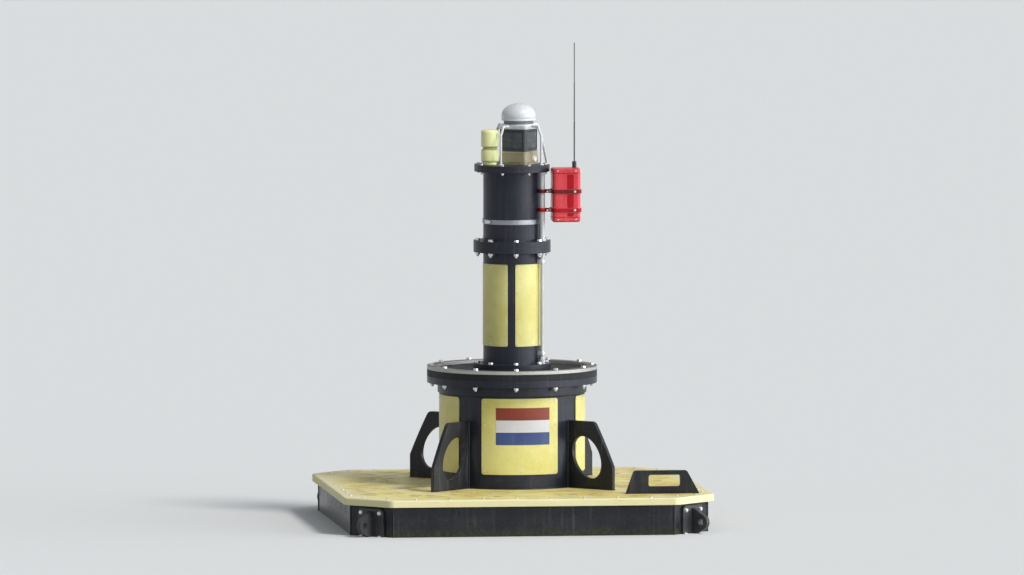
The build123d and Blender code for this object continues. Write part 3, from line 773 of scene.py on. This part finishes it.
def sheet_screws():
    """Screws of the yellow sheets. An arc is the angle that a sheet covers, in degrees."""
    front_arc, side_arc, mast_arc = 63.3, 72.4, 75.05
    steel = Solid()
    drum_face, mast_face = reach_of("drum_panel_right"), reach_of("mast_panel_right")
    for bearing, arc in ((0, front_arc), (90, side_arc), (180, front_arc), (270, side_arc)):
        screws_of_sheet(steel, "drum_panel_front", bearing, drum_face, arc, inset=0.022, size=0.0065)
        screws_of_sheet(steel, "mast_panel_front", bearing + MAST_SHEETS_TURN, mast_face, mast_arc,
                        inset=0.016, size=0.0055)
    steel.build("sheet_screws", mat_bolt, 30)


mooring_pad_bolts()
deck_screws()
sheet_screws()


# Weld beads

def bead(solid, path, radius, closed=False):
    """Rippled weld bead along a path."""
    radii = []
    for k, point in enumerate(path):
        swell = noise.noise(Vector(point) * 23.0)
        radii.append(radius * (1 + 0.10 * math.sin(k * 1.9) + 0.16 * swell))
    solid.tube(path, radii, closed=closed)


def run(a, b, pitch=0.005):
    """Points on a straight line."""
    a, b = Vector(a), Vector(b)
    count = max(2, round((b - a).length / pitch))
    return [a + (b - a) * k / count for k in range(count + 1)]


def circle(radius, level, pitch=0.006):
    count = round(2 * math.pi * radius / pitch)
    return [toward(360 * k / count, radius, level) for k in range(count)]


def gusset_welds(solid, place):
    """Beads up the drum, along the deck on both sides, and across the foot's outer end."""
    face, wall, deck = 0.0145, DRUM_RADIUS + 0.0025, DECK_TOP + 0.0015
    foot, foot_half = DRUM_RADIUS + 0.3935, 0.011
    for side in (-face, face):
        up = run((wall, side, DECK_TOP + 0.008), (wall, side, top_of("gusset_front_right") - 0.006))
        out = run((DRUM_RADIUS + 0.010, side, deck), (foot - 0.0055, side, deck))
        bead(solid, [place @ p for p in up], 0.0075)
        bead(solid, [place @ p for p in out], 0.0075)
    bead(solid, [place @ p for p in run((foot, -foot_half, deck), (foot, foot_half, deck))], 0.006)


def weld_beads():
    beads = Solid()
    for bearing in CORNERS:
        gusset_welds(beads, facing(bearing))
    bead(beads, circle(DRUM_RADIUS + 0.0035, DECK_TOP + 0.0025), 0.0085, closed=True)
    bead(beads, circle(DRUM_RADIUS + 0.0018, base_of("drum_flange") - 0.0015), 0.0070, closed=True)
    low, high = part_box("tow_bracket")
    for y in (low.y - 0.0005, high.y + 0.0005):
        bead(beads, run((low.x + 0.004, y, low.z + 0.0015), (high.x - 0.004, y, low.z + 0.0015)), 0.0065)
    collar = MAST_RADIUS + 0.0020
    bead(beads, circle(collar, BASE_FLANGE_TOP + 0.0015), 0.0060, closed=True)
    bead(beads, circle(collar, JOINT_LOW - 0.0010), 0.0055, closed=True)
    bead(beads, circle(collar, JOINT_HIGH + 0.0012), 0.0060, closed=True)
    bead(beads, circle(MAST_RADIUS + 0.0018, PLATE_LOW - 0.0010), 0.0050, closed=True)
    beads.build("weld_beads", mat_plate, 60)


def float_weld_beads():
    """Beads up the float's eight corners and round it under the deck's edge."""
    sunk, lowest = 0.0008, 0.085
    highest, under_deck = base_of("deck_plate") - 0.010, base_of("deck_plate") - 0.002
    beads = Solid()
    outline = cut_square(HULL_HALF, HULL_CUT)
    for x, y in outline:
        inward = 1 - sunk / math.hypot(x, y)
        x, y = x * inward, y * inward
        bead(beads, run((x, y, lowest), (x, y, highest), 0.006), 0.0065)
    border = []
    for k, start in enumerate(outline):
        end = outline[(k + 1) % len(outline)]
        border += run((*start, under_deck), (*end, under_deck), 0.008)[:-1]
    bead(beads, border, 0.0075, closed=True)
    beads.build("float_weld_beads", mat_float, 60)


weld_beads()
float_weld_beads()


# Tricolour on the front sheet

def stripe(name, material, low, high):
    """Thin stripe bent round the drum, on the front sheet."""
    radius, thick, width, centre, steps = reach_of("drum_panel_right"), 0.0008, 0.385, 2, 40
    arc = math.degrees(width / radius)
    loops = []
    for k in range(steps + 1):
        bearing = centre - arc / 2 + arc * k / steps
        loops.append([toward(bearing, radius, low), toward(bearing, radius + thick, low + thick * 0.4),
                      toward(bearing, radius + thick, high - thick * 0.4), toward(bearing, radius, high)])
    solid = Solid()
    solid.rings(loops)
    solid.build(name, material, 40)


STRIPES_LOW, STRIPE_HEIGHT = 0.929, 0.257 / 3
STRIPES = (("blue", mat_flag_blue), ("white", mat_flag_white), ("red", mat_flag_red))
for k, (tone, material) in enumerate(STRIPES):
    level = STRIPES_LOW + k * STRIPE_HEIGHT
    stripe(f"tricolour_{tone}", material, level, level + STRIPE_HEIGHT)


# Lantern

def smooth_dome():
    """Dome with a moulded lip and a flat boss on top. Heights are above its foot."""
    radius, crown_low, crown_height, zones = 0.1193, 0.034, 0.0845, 24
    lip = [(0.0, 0.0), (0.116, 0.0), (0.1195, 0.0020), (0.120, 0.0050), (0.120, 0.0105), (0.1178, 0.0125),
           (0.1178, 0.0145), (radius, 0.0170)]
    crown = []
    for k in range(zones - 1):
        t = math.radians(90 * k / zones)
        crown.append((radius * math.cos(t), crown_low + crown_height * math.sin(t)))
    boss = [(0.0080, 0.1186), (0.0075, 0.1195), (0.0, 0.1200)]
    dome = Solid()
    dome.lathe(lip + crown + boss, at(LANTERN_X, 0, base_of("lantern_dome")), 96)
    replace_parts(dome.build("dome_smooth", mat_dome, 50), "lantern_dome")


def solar_panels():
    """Panels in the four pockets, each with a gasket round it."""
    pocket, level = 0.099, (base_of("lantern_solar_body") + top_of("lantern_solar_body")) / 2
    thick, width, height = 0.0022, 0.152, 0.116
    seal_x, seal_y, seal_z, seal_radius = 0.0012, 0.0795, 0.0615, 0.0022
    for k in range(4):
        place = LANTERN @ turned(90 * k) @ at(pocket, 0, level)
        glass = Solid()
        glass.box((thick, width, height), at(thick / 2, 0, 0), 0.0008)
        glass.build(f"solar_panel_{k + 1}", mat_cells, 30, place)
        seal = Solid()
        seal.tube([(seal_x, -seal_y, -seal_z), (seal_x, seal_y, -seal_z), (seal_x, seal_y, seal_z),
                   (seal_x, -seal_y, seal_z)], seal_radius, closed=True)
        seal.build(f"solar_seal_{k + 1}", mat_rubber, 50, place)


def lantern_screws():
    """Screws in the guard's collar and bolts in the base's foot, two on each side."""
    collar, collar_level = 0.1143, top_of("lantern_guard") - 0.0085
    foot, foot_level = 0.1068, PLATE_TOP + 0.010
    steel = Solid()
    for k in range(4):
        side = LANTERN @ turned(90 * k)
        for across in (-0.080, 0.080):
            screw(steel, side @ at(collar, across, collar_level) @ OUTWARD, 0.0045)
        for across in (-0.074, 0.074):
            bolt(steel, side @ at(foot, across, foot_level) @ OUTWARD, 0.006)
    steel.build("lantern_screws", mat_bolt, 30)


def lantern_rib(solid, half_width, level, radius):
    """Rounded rib round the lantern."""
    outline = rounded_rectangle(half_width, half_width, 0.020)
    solid.tube([LANTERN @ Vector((x, y, level)) for x, y in outline], radius, closed=True)


def lantern_trim():
    ribs = Solid()
    lantern_rib(ribs, 0.1075, PLATE_TOP + 0.0205, 0.0022)
    lantern_rib(ribs, 0.1030, PLATE_TOP + 0.0800, 0.0020)
    ribs.build("lantern_base_ribs", mat_base, 60)
    lip = Solid()
    lantern_rib(lip, 0.1082, base_of("lantern_hood") + 0.004, 0.0026)
    lip.build("lantern_hood_lip", mat_hood, 60)


def highlight_cap():
    """Pale round cap low on the lantern's right side, a painted highlight where the sun catches the base's
    corner.
    """
    cap = Solid()
    cap.lathe([(0.025, 0), (0.025, 0.004), (0.0220, 0.0055), (0.0220, 0.012), (0.019, 0.0145), (0.0, 0.0155)],
              None, 32)
    place = LANTERN @ at(0.1045, 0.025, PLATE_TOP + 0.038) @ OUTWARD
    cap.build("lantern_highlight_cap", mat_cream, 30, place)


smooth_dome()
solar_panels()
lantern_screws()
lantern_trim()
highlight_cap()


# Signal unit: heights are above the top plate

def lobe(low, high):
    """Outline of one lobe from its foot to its top, with round corners."""
    corner, steps = 0.020, 10
    points = []
    for start, middle in ((-90, low + corner), (0, high - corner)):
        for k in range(steps + 1):
            t = math.radians(start + 90 * k / steps)
            points.append((SIGNAL_RADIUS - corner + corner * math.cos(t), middle + corner * math.sin(t)))
    return points


def signal_lobes():
    """Two smooth lobes with a waist and a foot, and two moulded parting ribs on each lobe."""
    foot_radius, rib_inner, rib_radius, rib_stand = 0.0485, 0.050, 0.0012, 0.0004
    lobes = ((0.016, 0.112), (0.117, 0.244))
    below, above = lobe(*lobes[0]), lobe(*lobes[1])
    foot = [(0.0, 0.0), (foot_radius, 0.0), (0.049, 0.0025), (0.049, 0.0155), (0.0475, 0.0170)]
    waist = [(0.0478, SIGNAL_WAIST - 0.0015), (0.0474, SIGNAL_WAIST), (0.0478, SIGNAL_WAIST + 0.0015)]
    outline = foot + [p for p in below if p[0] > foot_radius] + waist
    outline += [p for p in above if p[0] > foot_radius or p[1] > SIGNAL_WAIST + 0.09]
    outline.append((0.0, lobes[1][1]))
    signal = Solid()
    signal.lathe(outline, SIGNAL, 72)
    for points in (below, above):
        for turn in (40, 220):
            path = [SIGNAL @ toward(turn, r + rib_stand, z) for r, z in points if r > rib_inner]
            signal.tube(path, rib_radius, steps=6)
    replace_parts(signal.build("signal_lobes", mat_signal, 50), "signal_unit")


signal_lobes()


# Equipment housing

def housing_seals():
    """Lid seams near the two ends."""
    outline = rounded_rectangle(HOUSING_HALF_WIDTH - 0.0002, HOUSING_HALF_DEPTH - 0.0002, 0.026)
    seals = Solid()
    for level in HOUSING_SEAMS:
        seals.tube([(HOUSING_X + x, HOUSING_Y + y, level) for x, y in outline], 0.0020, closed=True)
    seals.build("housing_seals", mat_rubber, 60)


def housing_channels():
    """Dark channel strips between the seams and the straps, on the front and the back."""
    width, thick, across = 0.044, 0.004, 0.026
    seam_gap, strap_gap = 0.008, 0.006
    (lower_low, lower_top), (upper_low, upper_top) = STRAPS
    stretches = ((HOUSING_SEAMS[0] + seam_gap, lower_low - strap_gap),
                 (lower_top + strap_gap, upper_low - strap_gap),
                 (upper_top + strap_gap, HOUSING_SEAMS[1] - seam_gap))
    for side, turn in (("front", 0), ("back", 180)):
        face = at(HOUSING_X, HOUSING_Y, 0) @ turned(turn)
        strip = Solid()
        for low, high in stretches:
            strip.box((width, thick, high - low),
                      face @ at(across, -HOUSING_HALF_DEPTH - 0.0014, (low + high) / 2), 0.0015)
        strip.build(f"housing_channel_{side}", mat_red_dark, 30)


def latch(steel, level):
    """Draw latch on the outer side: a plate, a lever and a wire loop."""
    place = at(HOUSING_X + HOUSING_HALF_WIDTH + 0.0015, HOUSING_Y, level)
    steel.box((0.004, 0.024, 0.046), place, 0.0012)
    steel.box((0.006, 0.016, 0.026), place @ at(0.0035, 0, -0.004), 0.002)
    x, half, low, high = 0.006, 0.009, 0.006, 0.019
    loop = ((x, -half, low), (x, -half, high), (x, half, high), (x, half, low))
    steel.tube([place @ Vector(p) for p in loop], 0.0014)


def housing_fittings():
    """Lid screws, the bolts of the straps and the latches."""
    steel = Solid()
    for turn in (0, 180):
        face = at(HOUSING_X, HOUSING_Y, 0) @ turned(turn)
        for across in (-0.062, 0.062):
            for level in (HOUSING_LOW + 0.018, HOUSING_TOP - 0.018):
                screw(steel, face @ at(across, -HOUSING_HALF_DEPTH, level) @ FORWARD, 0.006)
    for level in STRAP_LEVELS:
        for across in (-0.0095, 0.0095):
            x = HOUSING_X - HOUSING_HALF_WIDTH - 0.0195 + across
            bolt(steel, at(x, HOUSING_Y - 0.006, level + across * 0.3) @ FORWARD, 0.008)
        bolt(steel, at(HOUSING_X + 0.055, HOUSING_Y - HOUSING_HALF_DEPTH - 0.0073, level) @ FORWARD, 0.010)
    for level in HOUSING_SEAMS:
        latch(steel, level)
    steel.build("housing_fittings", mat_bolt, 30)


housing_seals()
housing_channels()
housing_fittings()


# Glands, feet and clamps

def fittings():
    """Gland nuts of the conduit, screws of the pole's and guard's feet, and the antenna's nut."""
    steel = Solid()
    pole = toward(POLE_BEARING, POLE_RADIUS)
    for level, turn in ((BASE_FLANGE_TOP + 0.034, Matrix()), (JOINT_LOW - 0.034, DOWN)):
        steel.hexagon(across=0.036, height=0.014, place=at(pole.x, pole.y, level) @ turn)
    for level, turn in ((JOINT_HIGH + 0.014, Matrix()), (PLATE_LOW - 0.014, DOWN)):
        for angle in (20, 140, 260):
            screw(steel, at(pole.x, pole.y, level) @ turned(angle) @ at(0.0245, 0, 0) @ turn, 0.0042)
    antenna = at(middle_of("whip_antenna")[0], HOUSING_Y, HOUSING_TOP)
    steel.hexagon(across=0.026, height=0.012, place=antenna)
    feet = [(toward(corner, 0.200) + Vector((LANTERN_X, 0, 0)), (45, 165, 285)) for corner in CORNERS]
    brace_foot = (toward(83, 0.242), (155, 335))
    for spot, angles in feet + [brace_foot]:
        for angle in angles:
            screw(steel, at(spot.x, spot.y, PLATE_TOP + 0.008) @ turned(angle) @ at(0.0130, 0, 0), 0.0032)
    steel.build("fittings", mat_steel, 30)


def band_clamps():
    """Worm housings and screws of the mast's band."""
    steel = Solid()
    for bearing in (-62, 118):
        place = facing(bearing) @ at(MAST_RADIUS + 0.0085, 0, BAND_LEVEL)
        steel.box((0.010, 0.052, 0.026), place, 0.003)
        steel.hexagon(across=0.013, height=0.010, place=place @ at(0.002, 0.026, 0) @ BACKWARD)
    steel.build("band_clamps", mat_bolt, 30)


fittings()
band_clamps()


# Floor

FLOOR_HALF = 300
FLOOR_LIT, FLOOR_SEEN = (0.36, 0.37, 0.38), (0.84, 0.86, 0.88)
floor_mesh = bpy.data.meshes.new("floor")
floor_corners = [(x * FLOOR_HALF, y * FLOOR_HALF, WATERLINE) for x, y in ((-1, -1), (1, -1), (1, 1), (-1, 1))]
floor_mesh.from_pydata(floor_corners, [], [(0, 1, 2, 3)])
floor = bpy.data.objects.new("floor", floor_mesh)
bpy.context.scene.collection.objects.link(floor)
pale = Shade("floor", {"Roughness": 0.9, "Specular IOR Level": 0.1})
pale.put(pale.shader.inputs["Base Color"], pale.mix(pale.seen(), FLOOR_LIT, FLOOR_SEEN))
floor_mesh.materials.append(pale.material)

# Studio light as a smooth glow: a pale dome, brighter round one bearing and towards the horizon

SKY_COLOUR, SKY_FILL, BACKDROP = (0.94, 0.97, 1.0), 0.26, 0.27
HORIZON_HEIGHT, HORIZON_SHARPNESS = 0.06, -52.0
world = bpy.data.worlds.new("studio")
bpy.context.scene.world = world
world.use_nodes = True
sky = Nodes(world.node_tree)
skyward = sky.node("TexCoord").outputs["Generated"]


def glow(bearing, level, width, power):
    """Light that falls off smoothly round one direction, with its width in degrees to the half."""
    heart = toward(bearing, 1.0, level).normalized()
    sharpness = math.log(0.5) / (math.cos(math.radians(width)) - 1)
    off = sky.less(sky.dot(skyward, heart), 1.0)
    return sky.times(sky.maths("EXPONENT", sky.times(off, sharpness)), power)


def near_horizon():
    """1 just above the horizon, 0 well away from it."""
    off = sky.less(sky.axes(skyward)[2], HORIZON_HEIGHT)
    return sky.maths("EXPONENT", sky.times(sky.maths("POWER", off, 2.0), HORIZON_SHARPNESS))


strength = sky.maths("ADD", sky.times(sky.seen(), BACKDROP), SKY_FILL)
for light in (glow(bearing=74, level=0.30, width=30, power=0.9),
              glow(bearing=-76, level=0.35, width=26, power=0.15),
              sky.times(near_horizon(), glow(bearing=66, level=0.06, width=32, power=9.5))):
    strength = sky.maths("ADD", strength, light)
plain = sky.node("Background")
sky.put(plain.inputs[0], SKY_COLOUR)
sky.put(plain.inputs[1], strength)
sky.put(sky.node("OutputWorld").inputs[0], plain.outputs[0])


# Sun and camera

def aim(item, spot, target):
    item.location = spot
    item.rotation_mode = "QUATERNION"
    item.rotation_quaternion = (Vector(target) - Vector(spot)).to_track_quat("-Z", "Y")


SUN_POWER, SUN_WIDTH, SUN_COLOUR = 1.78, 14, (1.0, 0.975, 0.93)
SUN_SPOT, SUN_TARGET = toward(47, 8.0, 10.2), (0, 0, 1.5)
sun = bpy.data.lights.new("key", "SUN")
sun.energy, sun.angle, sun.color = SUN_POWER, math.radians(SUN_WIDTH), SUN_COLOUR
sun_item = bpy.data.objects.new("key", sun)
bpy.context.scene.collection.objects.link(sun_item)
aim(sun_item, SUN_SPOT, SUN_TARGET)

# The photograph's viewing angle, from far away because it shows no perspective
CAMERA_BEARING, CAMERA_ELEVATION, CAMERA_DISTANCE = -7.0, math.radians(4.36), 150.0
CAMERA_TARGET = Vector((0.0, 0.0, 1.985))
camera = bpy.data.cameras.new("camera")
camera.sensor_width, camera.lens, camera.clip_end = 36.0, 760.0, 1000
camera_item = bpy.data.objects.new("camera", camera)
bpy.context.scene.collection.objects.link(camera_item)
away = toward(CAMERA_BEARING, math.cos(CAMERA_ELEVATION), math.sin(CAMERA_ELEVATION))
aim(camera_item, CAMERA_TARGET + away * CAMERA_DISTANCE, CAMERA_TARGET)
bpy.context.scene.camera = camera_item

bpy.context.scene.view_settings.view_transform = "Standard"
